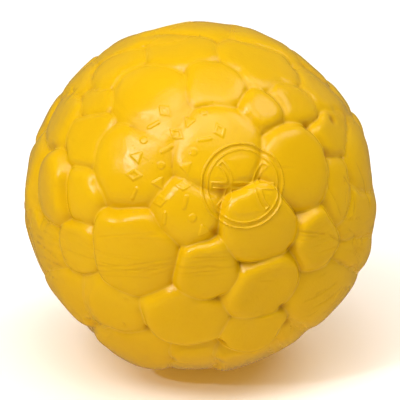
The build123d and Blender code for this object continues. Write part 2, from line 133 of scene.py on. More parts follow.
    (60.5, 24.1, -0.17, -0.024, 0.020, -0.0010, 0.51, 1.17, 7.4, 6.1, 6.1, 6.8, 7.0, 7.4, 8.9, 7.6, 6.7, 7.5, 6.7, 5.7, 6.5, 8.1, 7.5, 7.5),
    (40.2, 53.0, -0.05, 0.024, -0.013, 0.0038, 0.65, 1.08, 6.8, 6.7, 5.8, 6.1, 7.4, 7.4, 7.2, 6.8, 5.8, 6.2, 6.8, 6.3, 6.4, 7.3, 6.4, 6.0),
    (-179.6, -71.7, -0.21, -0.058, 0.005, -0.0031, 0.60, 0.81, 8.8, 7.6, 6.2, 6.6, 6.9, 9.9, 9.7, 8.0, 7.5, 8.4, 9.5, 7.4, 6.4, 7.5, 8.6, 8.1),
    (12.9, 20.9, -0.38, -0.024, 0.021, 0.0077, 0.74, 1.32, 8.4, 9.3, 7.3, 5.7, 5.9, 5.8, 8.5, 10.9, 9.4, 9.4, 8.4, 8.3, 7.7, 5.7, 5.7, 6.2),
    (146.6, 57.0, -0.27, -0.048, 0.004, 0.0028, 0.66, 1.16, 8.5, 8.1, 8.7, 10.3, 9.6, 7.0, 6.7, 7.2, 6.8, 6.3, 7.6, 8.1, 7.0, 6.1, 6.6, 8.0),
    (-52.7, -65.5, -0.16, -0.022, -0.037, 0.0001, 0.70, 1.03, 8.1, 8.8, 8.5, 8.3, 6.6, 6.0, 6.3, 9.0, 10.2, 7.9, 7.9, 8.7, 9.2, 9.0, 7.7, 7.0),
    (-0.6, -26.4, -0.21, 0.043, -0.010, 0.0038, 0.96, 1.24, 4.9, 6.2, 6.0, 5.1, 5.4, 6.1, 9.7, 10.8, 10.3, 10.0, 6.2, 4.5, 4.1, 4.5, 5.3, 4.9),
    (143.2, 23.0, -0.12, -0.010, 0.018, 0.0091, 0.93, 0.98, 6.6, 8.3, 7.8, 7.7, 7.3, 5.9, 6.7, 7.8, 6.9, 5.8, 7.0, 8.2, 8.4, 7.1, 6.0, 5.8),
    (179.4, -35.2, -0.16, 0.032, 0.009, -0.0013, 1.09, 0.85, 9.2, 12.0, 9.9, 7.8, 7.5, 8.9, 9.1, 8.5, 9.4, 8.5, 8.1, 9.3, 9.8, 9.3, 9.5, 8.4),
    (132.0, -22.7, -0.18, -0.000, -0.030, 0.0059, 0.83, 0.87, 7.9, 9.5, 10.0, 9.2, 9.6, 9.1, 9.4, 9.6, 8.9, 8.1, 8.5, 9.1, 8.9, 10.4, 10.4, 8.8),
    (170.6, 28.1, -0.17, -0.011, -0.048, -0.0018, 0.81, 1.23, 7.7, 7.5, 7.8, 9.3, 7.9, 6.1, 5.9, 7.5, 8.8, 7.0, 6.5, 7.4, 8.5, 8.8, 7.7, 7.1),
    (133.3, -62.9, -0.22, 0.001, 0.012, 0.0002, 1.01, 1.13, 9.3, 8.1, 7.2, 8.1, 7.3, 6.5, 6.6, 7.8, 8.3, 8.1, 7.8, 9.6, 9.6, 7.6, 7.1, 7.4),
    (67.8, -7.2, -0.20, 0.014, -0.026, -0.0018, 1.09, 1.17, 8.1, 8.4, 7.8, 7.1, 8.0, 7.5, 7.3, 7.1, 6.2, 6.3, 7.7, 7.0, 5.8, 5.9, 7.9, 9.5),
    (4.3, 1.6, -0.27, 0.009, -0.012, 0.0021, 0.60, 1.16, 8.2, 7.1, 7.7, 7.5, 8.4, 9.3, 8.5, 8.3, 10.0, 9.3, 5.6, 4.7, 4.5, 4.3, 5.8, 8.1),
    (109.0, -31.1, -0.38, 0.033, -0.013, -0.0053, 0.70, 1.03, 8.7, 8.3, 8.9, 7.5, 6.6, 7.0, 8.2, 7.9, 6.5, 7.7, 8.2, 7.4, 7.4, 7.2, 6.6, 8.1),
    (88.3, 51.6, -0.21, -0.029, 0.010, 0.0155, 0.47, 1.17, 7.2, 7.3, 7.5, 7.3, 7.7, 6.5, 6.0, 7.6, 8.4, 8.3, 8.0, 7.5, 7.4, 6.4, 6.4, 7.5),
    (17.9, -28.2, -0.27, 0.005, -0.045, -0.0036, 0.85, 1.09, 6.8, 6.8, 7.1, 6.6, 7.0, 8.4, 8.4, 7.5, 7.1, 7.6, 6.9, 7.4, 8.0, 6.7, 5.7, 6.0),
    (108.5, 10.9, -0.07, -0.018, 0.004, 0.0127, 0.58, 0.92, 6.9, 6.4, 7.2, 6.9, 7.4, 7.2, 5.7, 6.0, 7.4, 8.7, 8.5, 9.2, 8.2, 6.3, 5.9, 6.3),
    (0.2, -41.7, -0.22, -0.001, 0.021, 0.0015, 0.58, 1.14, 7.7, 7.5, 7.7, 8.0, 7.5, 7.4, 9.7, 10.4, 7.8, 7.0, 7.3, 8.8, 9.2, 8.2, 7.1, 6.8),
    (23.3, 9.3, 0.04, 0.032, -0.070, 0.0004, 0.56, 1.22, 6.2, 7.5, 7.8, 8.5, 7.3, 5.5, 5.6, 6.2, 8.1, 8.0, 8.6, 7.7, 6.8, 7.2, 6.3, 6.0),
    (53.7, -28.2, -0.25, 0.048, 0.023, 0.0046, 0.79, 1.09, 5.9, 5.8, 6.1, 7.6, 7.0, 7.6, 7.0, 6.0, 7.0, 7.0, 6.8, 5.9, 5.5, 5.7, 7.8, 7.6),
    (-6.7, -65.7, -0.19, 0.032, 0.013, -0.0004, 1.03, 1.14, 8.0, 8.6, 8.8, 8.6, 8.8, 7.9, 8.0, 8.6, 7.4, 6.7, 7.5, 9.1, 9.2, 9.7, 8.6, 6.9),
    (-151.8, -40.9, -0.25, -0.020, -0.014, -0.0015, 0.35, 1.30, 8.3, 8.0, 6.6, 6.4, 6.7, 10.4, 11.5, 8.3, 8.2, 8.1, 6.6, 6.5, 6.8, 8.5, 9.3, 7.9),
    (38.2, 3.8, -0.17, -0.005, 0.026, 0.0028, 0.83, 0.70, 7.0, 6.2, 7.2, 7.3, 7.1, 7.4, 6.2, 5.8, 6.3, 7.6, 7.7, 8.4, 8.4, 6.7, 6.6, 7.1),
    (101.5, -49.2, -0.26, 0.013, 0.040, 0.0084, 1.06, 0.87, 5.3, 5.5, 6.5, 6.7, 7.6, 8.7, 8.6, 8.4, 6.8, 7.0, 8.0, 7.9, 8.5, 8.9, 7.7, 6.0),
    (50.6, -9.0, -0.44, 0.014, 0.001, 0.0049, 0.72, 1.14, 6.4, 6.9, 7.6, 6.9, 6.9, 7.1, 6.4, 7.4, 8.4, 7.4, 6.7, 7.5, 7.3, 7.4, 8.4, 7.5),
    (154.1, -45.4, -0.37, 0.011, -0.011, 0.0024, 0.85, 1.08, 8.6, 7.6, 9.1, 9.6, 8.4, 9.2, 10.5, 9.3, 8.0, 8.0, 8.3, 7.8, 8.8, 10.3, 10.3, 10.3),
    (53.3, -43.3, -0.19, -0.000, 0.019, 0.0030, 0.63, 0.98, 5.8, 8.9, 7.8, 5.7, 5.8, 6.3, 6.9, 6.1, 6.1, 7.1, 8.4, 7.9, 7.9, 6.9, 5.4, 5.1),
    (163.6, -3.7, -0.05, -0.003, 0.025, 0.0026, 0.63, 0.95, 7.0, 5.5, 5.5, 6.3, 7.8, 7.1, 8.0, 8.1, 8.1, 9.2, 7.8, 6.6, 7.2, 8.9, 8.5, 8.2),
    (16.7, 48.1, -0.21, 0.006, 0.015, -0.0041, 0.62, 1.08, 6.6, 5.7, 6.1, 6.9, 7.0, 7.1, 9.4, 9.0, 8.4, 9.1, 6.8, 5.5, 5.5, 6.7, 6.6, 6.3),
    (80.9, -68.3, -0.07, -0.059, 0.011, -0.0012, 0.84, 1.00, 7.9, 9.2, 8.4, 8.2, 7.6, 7.0, 7.8, 7.0, 6.4, 6.2, 8.3, 9.3, 8.0, 8.9, 9.4, 7.8),
    (111.1, 67.7, -0.19, 0.039, 0.009, 0.0027, 0.83, 0.95, 7.5, 9.4, 8.9, 6.5, 6.3, 5.7, 7.3, 7.5, 7.3, 7.7, 7.3, 7.9, 7.2, 7.0, 7.6, 7.5),
    (121.3, 0.2, -0.16, -0.005, -0.020, 0.0008, 0.70, 1.25, 7.3, 8.2, 7.2, 6.0, 6.5, 7.5, 6.8, 6.6, 8.0, 8.3, 7.4, 8.1, 9.7, 9.8, 9.9, 8.3),
    (13.8, 34.7, -0.25, -0.013, 0.036, 0.0050, 1.03, 1.22, 5.9, 6.1, 5.8, 5.0, 4.9, 4.9, 7.6, 10.1, 11.7, 10.1, 6.0, 5.0, 4.8, 5.1, 7.2, 7.6),
]


def unit(v):
    return v / np.linalg.norm(v, axis=-1, keepdims=True)


def direction(az, el):
    a, e = math.radians(az), math.radians(el)
    return np.array([math.cos(e) * math.cos(a), math.cos(e) * math.sin(a), math.sin(e)])


def local_axes(n):
    east = np.cross([0.0, 0.0, 1.0], n)
    east = east / np.linalg.norm(east) if np.linalg.norm(east) > 1e-6 else np.array([1.0, 0, 0])
    return east, np.cross(n, east)


# ------------------------------------------------------------- camera basis
VIEW_EL = math.radians(21.0)
CAM_DIST = 12.0 * BALL_R
TO_CAM = np.array([0.0, -math.cos(VIEW_EL), math.sin(VIEW_EL)])
CAM_UP = np.array([0.0, math.sin(VIEW_EL), math.cos(VIEW_EL)])
CAM_RIGHT = np.array([1.0, 0.0, 0.0])


def face_point(a, b):
    """Direction of the point that lies a radii right of and b radii above the
    middle of the ball as the camera sees it."""
    px = 174.5
    focal = px / math.tan(math.asin(1.0 / 12.0))
    ray = -TO_CAM + (a * px / focal) * CAM_RIGHT + (b * px / focal) * CAM_UP
    ray = ray / np.linalg.norm(ray)
    c = TO_CAM * 12.0
    m = ray @ c
    disc = max(m * m - (c @ c - 1.0), 0.0)
    p = c + (-m - math.sqrt(disc)) * ray
    return p / np.linalg.norm(p)


# ------------------------------------------------------------ smooth noise
def value_noise(p, cell, seed):
    """Smooth 3-D value noise in -1..1, with features about one cell across."""
    q = p / cell
    i = np.floor(q).astype(np.int64)
    f = q - i
    f = f * f * f * (f * (f * 6 - 15) + 10)

    def corner(dx, dy, dz):
        x, y, z = i[:, 0] + dx, i[:, 1] + dy, i[:, 2] + dz
        h = (x * 374761393 + y * 668265263 + z * 2147483647 + seed * 974634777) & 0xFFFFFFFF
        h = ((h ^ (h >> 13)) * 1274126177) & 0xFFFFFFFF
        h = (h ^ (h >> 16)) & 0xFFFF
        return h / 32767.5 - 1.0

    out = 0.0
    for dx in (0, 1):
        wx = f[:, 0] if dx else 1 - f[:, 0]
        for dy in (0, 1):
            wy = f[:, 1] if dy else 1 - f[:, 1]
            for dz in (0, 1):
                wz = f[:, 2] if dz else 1 - f[:, 2]
                out = out + wx * wy * wz * corner(dx, dy, dz)
    return out


# ------------------------------------------------------------- cobble relief
BLEND = 0.18             # mm, rounding at the foot of a crease
STEEPEST = 14.0          # limit on how sharply a lobe's edge rolls down


def outline_radius(radii, phi):
    """Closed cubic curve through the 16 outline radii."""
    n = len(radii)
    s = (phi / (2 * np.pi) * n) % n
    k = np.floor(s).astype(int)
    t = s - k
    r = np.asarray(radii)
    a, b, c, d = r[(k - 1) % n], r[k % n], r[(k + 1) % n], r[(k + 2) % n]
    return b + 0.5 * t * (c - a + t * (2 * a - 5 * b + 4 * c - d + t * (3 * (b - c) + d - a)))


def relief(u):
    """Height in mm over the ball's radius, and how close each direction is to a crease."""
    n = len(u)
    top = np.full(n, -9.0)
    second = np.full(n, -9.0)
    third = np.full(n, -9.0)
    total = np.zeros(n)
    owner = np.full(n, -1)
    heights = []
    for index, row in enumerate(LOBES):
        az, el, peak, slope_e, slope_n, dome, drop, width = row[:8]
        radii = row[8:]
        c = direction(az, el)
        east, north = local_axes(c)
        reach = max(radii) * 2.0 / BALL_R
        near = np.nonzero(u @ c > math.cos(min(reach, 1.3)))[0]
        v = u[near]
        dist = np.arccos(np.clip(v @ c, -1, 1)) * BALL_R
        x, y = (v @ east) * BALL_R, (v @ north) * BALL_R
        r = outline_radius(radii, np.arctan2(y, x))
        t = dist / np.maximum(r, 0.8)
        power = min(max(float(np.mean(radii)) / width, 2.2), STEEPEST)
        inside = drop * np.minimum(t, 1.0) ** power
        outside = drop * power * np.maximum(t - 1.0, 0.0) * 0.8
        h = peak + slope_e * x + slope_n * y - inside - outside - 0.5 * dome * dist ** 2
        heights.append((near, h, index))
    # smooth maximum, done in two passes so that it cannot overflow
    for near, h, index in heights:
        a, b, c = top[near], second[near], third[near]
        third[near] = np.where(h > b, b, np.maximum(c, h))
        second[near] = np.where(h > a, a, np.maximum(b, h))
        owner[near[h > a]] = index
        top[near] = np.maximum(a, h)
    for near, h, index in heights:
        total[near] += np.exp((h - top[near]) / BLEND)
    smooth = top + BLEND * np.log(np.maximum(total, 1.0))
    return smooth, top - second, top - third, owner


# ------------------------------------------------------- marks and moulding
# Face coordinates are radii right of and above the middle of the ball as the
# camera sees it.
BADGE_AT = face_point(0.248, 0.052)
BADGE_RINGS = ((9.3, 0.32), (8.0, 0.23))         # radius and height in mm
BOW_AT, BOW_R = 9.4, 6.4                          # the badge's bowed seams
MARK_ARCS = (                                     # radius, first and last angle, pitch, first kind
    (13.3, 112.0, 246.0, 3.9, 0),
    (18.9, 116.0, 214.0, 4.1, 2),
    (24.6, 134.0, 192.0, 4.3, 4),
)

# wrinkles, seam marks and scars: height and half width in mm, then the line
STROKES = (
    (-0.13, 0.24, ((-0.589, -0.395), (-0.457, -0.398), (-0.296, -0.384), (-0.136, -0.367))),
    (-0.11, 0.22, ((-0.589, -0.430), (-0.428, -0.424), (-0.228, -0.407), (-0.124, -0.384))),
    (-0.10, 0.20, ((-0.526, -0.407), (-0.388, -0.424), (-0.228, -0.424))),
    (-0.10, 0.20, ((-0.342, -0.441), (-0.199, -0.418), (-0.136, -0.401))),
    (-0.10, 0.20, ((-0.296, -0.470), (-0.136, -0.430))),
    (-0.08, 0.20, ((-0.571, -0.453), (-0.399, -0.464), (-0.256, -0.481))),
    (-0.08, 0.20, ((-0.571, -0.229), (-0.388, -0.218), (-0.228, -0.212))),
    (-0.08, 0.20, ((-0.331, -0.229), (-0.205, -0.218))),
    (-0.25, 0.32, ((-0.795, -0.350), (-0.743, -0.430), (-0.674, -0.464), (-0.594, -0.450))),
    (-0.15, 0.25, ((-0.812, -0.315), (-0.783, -0.395), (-0.749, -0.436))),
    (-0.13, 0.22, ((-0.056, -0.355), (0.059, -0.358), (0.191, -0.361))),
    (-0.10, 0.20, ((-0.010, -0.372), (0.082, -0.376), (0.185, -0.378))),
    (-0.10, 0.20, ((-0.021, -0.401), (0.070, -0.418), (0.162, -0.436))),
    (-0.15, 0.22, ((0.563, -0.212), (0.655, -0.218), (0.735, -0.229))),
    (-0.11, 0.20, ((0.569, -0.235), (0.632, -0.238), (0.689, -0.241))),
    (-0.10, 0.20, ((0.575, -0.258), (0.632, -0.264))),
    (-0.15, 0.22, ((0.735, -0.218), (0.804, -0.264), (0.930, -0.281))),
    (-0.10, 0.20, ((0.414, 0.155), (0.483, 0.151), (0.552, 0.149))),
    (-0.11, 0.20, ((0.334, -0.499), (0.391, -0.502), (0.449, -0.504))),
    (-0.13, 0.22, ((0.833, 0.212), (0.873, 0.241))),
    (-0.13, 0.26, ((0.758, 0.143), (0.747, 0.063), (0.793, -0.040), (0.827, -0.132))),
    (-0.13, 0.26, ((0.827, 0.120), (0.884, 0.029), (0.873, -0.074), (0.827, -0.166))),
    (-0.17, 0.30, ((0.896, 0.201), (0.953, 0.052), (0.964, -0.086))),
    (-0.15, 0.22, ((0.861, -0.189), (0.896, -0.235), (0.879, -0.292), (0.907, -0.350))),
    (-0.11, 0.20, ((0.896, -0.235), (0.936, -0.258))),
    (-0.11, 0.20, ((0.879, -0.292), (0.930, -0.315))),
    (-0.10, 0.20, ((0.838, -0.315), (0.879, -0.327), (0.901, -0.384))),
    (-0.15, 0.26, ((0.586, -0.625), (0.689, -0.567), (0.793, -0.487))),
    (-0.13, 0.24, ((0.632, -0.648), (0.735, -0.579), (0.815, -0.510))),
    (-0.11, 0.22, ((0.781, -0.567), (0.815, -0.521), (0.838, -0.544))),
    (-0.19, 0.30, ((-0.445, -0.596), (-0.422, -0.607), (-0.405, -0.613))),
    (-0.17, 0.28, ((-0.440, -0.722), (-0.428, -0.739), (-0.422, -0.751))),
    (0.15, 0.30, ((-0.170, -0.951), (-0.124, -0.943), (-0.056, -0.951))),
    (-0.11, 0.20, ((0.609, 0.722), (0.644, 0.693), (0.678, 0.653))),
    (-0.10, 0.20, ((-0.801, 0.516), (-0.755, 0.567), (-0.686, 0.630))),
    (-0.10, 0.20, ((-0.766, 0.521), (-0.720, 0.579), (-0.663, 0.602))),
    (-0.11, 0.24, ((-0.944, -0.258), (-0.869, -0.327), (-0.812, -0.384))),
    (-0.11, 0.24, ((-0.927, -0.338), (-0.858, -0.384), (-0.789, -0.441))),
    (-0.10, 0.22, ((-0.915, -0.407), (-0.846, -0.464), (-0.801, -0.487))),
    (-0.15, 0.22, ((-0.342, 0.848), (-0.313, 0.860), (-0.285, 0.871))),
    (-0.11, 0.80, ((-0.457, 0.688), (-0.491, 0.573), (-0.445, 0.493), (-0.365, 0.436), (-0.250, 0.447))),
    (-0.10, 0.22, ((-0.640, 0.441), (-0.571, 0.453), (-0.514, 0.436))),
    (0.11, 0.24, ((-0.273, -0.109), (-0.256, -0.155), (-0.216, -0.206))),
    (-0.10, 0.22, ((0.678, -0.774), (0.735, -0.705), (0.775, -0.630))),
    (-0.10, 0.22, ((0.644, -0.808), (0.701, -0.751))),
    (-0.13, 0.20, ((0.844, 0.115), (0.842, 0.086), (0.838, 0.052))),
    (-0.15, 0.22, ((0.873, 0.115), (0.890, 0.029), (0.896, -0.052), (0.890, -0.126))),
    (-0.13, 0.20, ((0.856, 0.046), (0.848, -0.017), (0.844, -0.074))),
    (-0.15, 0.20, ((0.844, -0.146), (0.884, -0.138), (0.930, -0.138))),
    (-0.13, 0.20, ((0.781, -0.372), (0.838, -0.395), (0.890, -0.418))),
    (-0.10, 0.20, ((0.770, -0.401), (0.838, -0.403), (0.896, -0.395))),
    (-0.11, 0.20, ((0.689, -0.476), (0.716, -0.464), (0.741, -0.449))),
    (-0.13, 0.22, ((0.649, -0.579), (0.701, -0.550), (0.752, -0.516))),
    (-0.13, 0.22, ((0.730, -0.619), (0.781, -0.585), (0.815, -0.544), (0.850, -0.510))),
    (-0.10, 0.20, ((0.684, -0.665), (0.724, -0.642), (0.764, -0.607))),
    (-0.10, 0.20, ((0.586, -0.693), (0.632, -0.676), (0.678, -0.642))),
    (-0.13, 0.22, ((0.523, -0.728), (0.527, -0.756), (0.523, -0.785))),
    (-0.10, 0.20, ((0.747, -0.590), (0.770, -0.556), (0.810, -0.521))),
    (0.15, 0.70, ((0.558, -0.384), (0.563, -0.436), (0.575, -0.493), (0.552, -0.567), (0.517, -0.625), (0.460, -0.673), (0.389, -0.711), (0.317, -0.722), (0.245, -0.722))),
)
DIMPLES = (
    (0.128, 0.029),
    (0.088, -0.218),
    (0.540, -0.315),
    (0.489, -0.665),
    (0.500, -0.739),
    (0.128, -0.854),
    (0.626, 0.401),
    (0.735, 0.235),
    (-0.302, -0.779),
    (0.764, 0.436),
)
# swells of the whole ball at its outline: degrees round it, and mm
BODY = (
    (0.0, 1.10),
    (7.5, -0.70),
    (15.0, -0.08),
    (22.5, 0.95),
    (30.0, -0.07),
    (37.5, 0.12),
    (45.0, -0.25),
    (52.5, -0.42),
    (60.0, 0.19),
    (67.5, -1.00),
    (75.0, 1.02),
    (82.5, -0.82),
    (90.0, 0.37),
    (97.5, -0.22),
    (105.0, -1.00),
    (112.5, 0.31),
    (120.0, 0.40),
    (127.5, -0.14),
    (135.0, -0.28),
    (142.5, -0.20),
    (150.0, 0.46),
    (157.5, -1.00),
    (165.0, 1.10),
    (172.5, -0.69),
    (180.0, -0.14),
    (187.5, 0.86),
    (195.0, 0.09),
    (202.5, 0.24),
    (210.0, 0.58),
    (217.5, -0.67),
    (225.0, -1.00),
    (232.5, 1.10),
    (240.0, -1.00),
    (247.5, 0.00),
    (255.0, 0.00),
    (262.5, 0.00),
    (270.0, 0.00),
    (277.5, 0.00),
    (285.0, 0.00),
    (292.5, 0.00),
    (300.0, 0.00),
    (307.5, 0.00),
    (315.0, -0.70),
    (322.5, -0.22),
    (330.0, 0.36),
    (337.5, 0.54),
    (345.0, 0.77),
    (352.5, -1.00),
)


def smooth_line(pts):
    """Directions along a curve through face points."""
    p = [2 * np.array(pts[0]) - np.array(pts[1])] + [np.array(q) for q in pts] + [2 * np.array(pts[-1]) - np.array(pts[-2])]
    out = []
    for a, b, c, d in zip(p, p[1:], p[2:], p[3:]):
        for t in (0.0, 0.25, 0.5, 0.75):
            out.append(b + 0.5 * t * (c - a + t * (2 * a - 5 * b + 4 * c - d + t * (3 * (b - c) + d - a))))
    out.append(p[-2])
    return np.array([face_point(*q) for q in out]) * BALL_R


STROKE_LINES = [(tall, wide, smooth_line(pts)) for tall, wide, pts in STROKES]
DIMPLE_AT = np.array([face_point(*q) for q in DIMPLES])
LIMB = math.asin(1.0 / 12.0)
BODY_SIGMA = 6.0         # degrees
RELIEF_GAIN = 1.30
BODY_AT = np.array([
    math.cos(LIMB) * (math.cos(math.radians(d)) * CAM_RIGHT + math.sin(math.radians(d)) * CAM_UP)
    + math.sin(LIMB) * TO_CAM for d, _ in BODY]).reshape(-1, 3)


def bump_line(d, width):
    return np.exp(-(d / width) ** 2)


def plateau(d, edge=0.13):
    """1 inside an outline and 0 outside it."""
    return 0.5 - 0.5 * np.tanh(d / edge)


def body(u):
    """Slow swells that make the ball slightly out of round, in mm."""
    out = np.zeros(len(u))
    for c, (_, tall) in zip(BODY_AT, BODY):
        out += tall * np.exp((u @ c - 1.0) / math.radians(BODY_SIGMA) ** 2)
    return out


def strokes(u):
    """Height of the strokes in mm, and how far each point is down in one."""
    out = np.zeros(len(u))
    cut = np.zeros(len(u))
    for tall, wide, line in STROKE_LINES:
        mid = unit(line.mean(0))
        reach = np.linalg.norm(line - mid * BALL_R, axis=1).max() + 3.5 * wide
        near = np.nonzero(u @ mid > math.cos(min(reach / BALL_R, 1.5)))[0]
        if not len(near):
            continue
        p = u[near] * BALL_R
        best = np.full(len(near), 1e9)
        along = np.zeros(len(near))
        run = 0.0
        for a, b in zip(line[:-1], line[1:]):
            e = b - a
            size = np.linalg.norm(e)
            t = np.clip((p - a) @ e / (size * size), 0, 1)
            d = np.linalg.norm(p - a - t[:, None] * e, axis=1)
            closer = d < best
            best[closer] = d[closer]
            along[closer] = run + t[closer] * size
            run += size
        ends = np.clip(np.minimum(along, run - along) / min(1.5, run / 3), 0, 1)
        line_at = ends * bump_line(best, wide) * (0.8 + 0.3 * value_noise(p, 2.0, 31))
        out[near] += tall * line_at
        # the cut mask carries painted shade into the grooves of the sunk strokes
        if tall < 0 and wide < 0.6:
            cut[near] = np.maximum(cut[near], min(1.0, -tall / 0.16) * line_at)
    return out, cut


def emblem(u):
    """Height added by the moulded badge and the arcs of plain marks beside it, in mm."""
    c = BADGE_AT
    right = unit(CAM_RIGHT - (CAM_RIGHT @ c) * c)
    up = np.cross(c, right)
    near = np.nonzero(u @ c > math.cos(27.5 / BALL_R))[0]
    v = u[near]
    dist = np.arccos(np.clip(v @ c, -1, 1)) * BALL_R
    phi = np.arctan2(v @ up, v @ right)
    x, y = dist * np.cos(phi), dist * np.sin(phi)
    add = np.zeros(len(near))
    for radius, tall in BADGE_RINGS:
        add += tall * bump_line(dist - radius, 0.21)
    add -= 0.10 * plateau(np.abs(dist - 8.65) - 0.45, 0.2)
    # inside the rings, the seams of a plain ball: a level band and two bowed ones
    bands = np.minimum(np.abs(y), np.abs(np.hypot(np.abs(x) - BOW_AT, y) - BOW_R))
    d = np.maximum(bands - 0.62, dist - 7.1)
    add += 0.22 * bump_line(d, 0.21) - 0.08 * plateau(d + 0.35, 0.2)
    panel = np.maximum(-(bands - 1.25), dist - 6.9)
    add += 0.12 * plateau(panel + 0.5, 0.35)
    deg = np.degrees(phi) % 360
    for radius, a0, a1, pitch, first in MARK_ARCS:
        step = math.degrees(pitch / radius)
        k = np.round((deg - a0) / step)
        ok = (k >= 0) & (k <= math.floor((a1 - a0) / step)) & (np.abs(dist - radius) < 2.4)
        ang = np.radians(a0 + k * step)
        rad = dist * np.cos(np.radians(deg) - ang) - radius
        tan = dist * np.sin(np.radians(deg) - ang)
        kind = np.mod(k + first, 4)
        lozenge = (np.abs(rad) * 0.72 + np.abs(tan)) * 0.81 - 1.15
        gem = 0.19 * plateau(lozenge) - 0.13 * plateau(lozenge + 0.55)
        disc = 0.19 * plateau(np.hypot(rad, tan) - 0.85)
        lean = tan * 0.87 + rad * 0.5
        bar = 0.18 * plateau(np.hypot(np.maximum(np.abs(lean) - 1.2, 0), rad * 0.87 - tan * 0.5) - 0.42)
        tx, ty = np.abs(tan) - 1.25, rad + 0.72
        fold = tx + 1.732 * ty > 0
        tx, ty = np.where(fold, (tx - 1.732 * ty) / 2, tx), np.where(fold, (-1.732 * tx - ty) / 2, ty)
        tx = tx - np.clip(tx, -2.5, 0)
        wedge = 0.19 * plateau(-np.hypot(tx, ty) * np.sign(ty) - 0.15)
        shape = np.choose(kind.astype(int), [gem, bar, disc, wedge])
        add += np.where(ok, shape, 0)
    # the mould's marks are worn: fainter in places
    add *= 1.35 * np.clip(0.86 + 0.25 * value_noise(v * BALL_R, 6.0, 21), 0.4, 1.1)
    out = np.zeros(len(u))
    out[near] = add
    return out


def seam_lines(u):
    """Fine flow lines that run round the ball beside its parting line, in mm."""
    p = u * BALL_R
    z = p[:, 2]
    near = np.nonzero(np.abs(z) < 8.0)[0]
    q = p[near]
    add = np.zeros(len(near))
    for k, (level, tall) in enumerate(((-3.6, 0.06), (-2.3, 0.08), (-1.2, 0.07), (1.0, 0.04), (2.1, 0.04), (4.9, 0.04), (-5.2, 0.05))):
        wander = 0.55 * value_noise(q * [1, 1, 0.1], 9.0, 40 + k) + 0.16 * value_noise(q * [1, 1, 0.2], 3.0, 60 + k)
        there = np.clip(0.15 + 1.4 * value_noise(q * [1, 1, 0.3], 11.0, 80 + k), 0, 1)
        add -= tall * there * bump_line(q[:, 2] - level - wander, 0.20)
    out = np.zeros(len(u))
    out[near] = add
    # the cut mask carries painted shade into the flow-line grooves
    cut = np.clip(-out / 0.10, 0, 1)
    return out, cut


def surface(u):
    """Height over the ball's radius in mm, and the marks that the material reads."""
    h, gap, third, owner = relief(u)
    p = u * BALL_R
    h = RELIEF_GAIN * (h + 0.1) - 0.1 + body(u)
    h = h + 0.07 * value_noise(p, 8.0, 3) + 0.036 * value_noise(p, 3.1, 4) + 0.006 * value_noise(p, 1.1, 5)
    # flow marks of the rubber: long shallow ripples either side of the seam
    wander = 0.8 * value_noise(p * [1, 1, 0.25], 6.0, 9)
    band = np.exp(-(p[:, 2] / 4.5) ** 2)
    patch = np.clip(0.5 + value_noise(p, 9.0, 12), 0, 1)
    h = h + 0.014 * band * patch * np.sin(2 * np.pi * (p[:, 2] + wander) / 1.35)
    # the parting line of the two halves
    h = h - 0.045 * np.exp(-(p[:, 2] / 0.25) ** 2)
    junction = np.exp(-np.maximum(third, 0) / 0.40)
    h = h - 0.18 * junction
    # the thin line of flash that stands along the foot of the creases
    h = h + 0.09 * np.exp(-(gap / 0.42) ** 2) * (1 - junction) * np.clip(0.65 + value_noise(p, 7.0, 15), 0, 1)
    deep = np.zeros(len(u))
    for c in DIMPLE_AT:
        deep = np.maximum(deep, np.exp((u @ c - 1.0) * 2 * (BALL_R / 0.85) ** 2 * 0.5))
    h = h - 0.40 * deep
    struck, cut_a = strokes(u)
    flowed, cut_b = seam_lines(u)
    h = h + emblem(u) + struck + flowed
    # the crease, pit and cut marks drive painted shade in the rubber's colour
    marks = {
        "crease": np.exp(-np.maximum(gap, 0) / 0.30),
        "pit": np.maximum(0.6 * junction, deep),
        "cut": np.maximum(cut_a, cut_b),
    }
    return h, marks


# ---------------------------------------------------------------- the grid
GRID = 300               # cells along a side of each half's outer skin
INNER = 50               # cells along a side of its inner skin
FRONT_PULL = 0.20        # sets more of the grid on the side with the emblem


def graded(cells, middle, reach, gain):
    """Grid lines from -1 to 1, set closer together within reach of the middle."""
    x = np.linspace(-1, 1, 4001)
    dense = 1.0 + gain * np.exp(-((x - middle) / reach) ** 4)
    total = np.concatenate([[0.0], np.cumsum(0.5 * (dense[1:] + dense[:-1]))])
    return np.interp(np.linspace(0, total[-1], cells + 1), total, x)


def hemisphere(cells, pull):
    """Unit directions of an equal-area grid over the upper half; its border is the equator."""
    a, b = np.meshgrid(graded(cells, 0.0, 0.42, 0.75), graded(cells, -0.85, 0.50, 1.1), indexing="ij")
    a, b = a.ravel(), b.ravel()
    x, y = a * np.sqrt(1 - b * b / 2), b * np.sqrt(1 - a * a / 2)
    r = np.hypot(x, y)
    rr = np.minimum(r * r, 1.0)
    k = np.sqrt(2 - rr)
    p = np.stack([x * k, y * k, 1 - rr], 1)
    p[:, 2] = np.where(rr > 1 - 1e-9, 0.0, p[:, 2])
    p = p + np.array([0.0, -pull, 0.0])
    return unit(p)


def border(cells):
    """Grid indices round the border, in order."""
    m = cells + 1
    idx = np.arange(m * m).reshape(m, m)
    return np.concatenate([idx[0, :-1], idx[:-1, -1], idx[-1, :0:-1], idx[:0:-1, 0]])


def triangles(points, cells):
    """Two triangles per grid cell, split along its shorter diagonal."""
    m = cells + 1
    idx = np.arange(m * m).reshape(m, m)
    a, b = idx[:-1, :-1].ravel(), idx[1:, :-1].ravel()
    c, d = idx[1:, 1:].ravel(), idx[:-1, 1:].ravel()
    ac = np.linalg.norm(points[a] - points[c], axis=1)
    bd = np.linalg.norm(points[b] - points[d], axis=1)
    use = ac <= bd
    one = np.where(use[:, None], np.stack([a, b, c], 1), np.stack([a, b, d], 1))
    two = np.where(use[:, None], np.stack([a, c, d], 1), np.stack([b, c, d], 1))
    return np.concatenate([one, two])


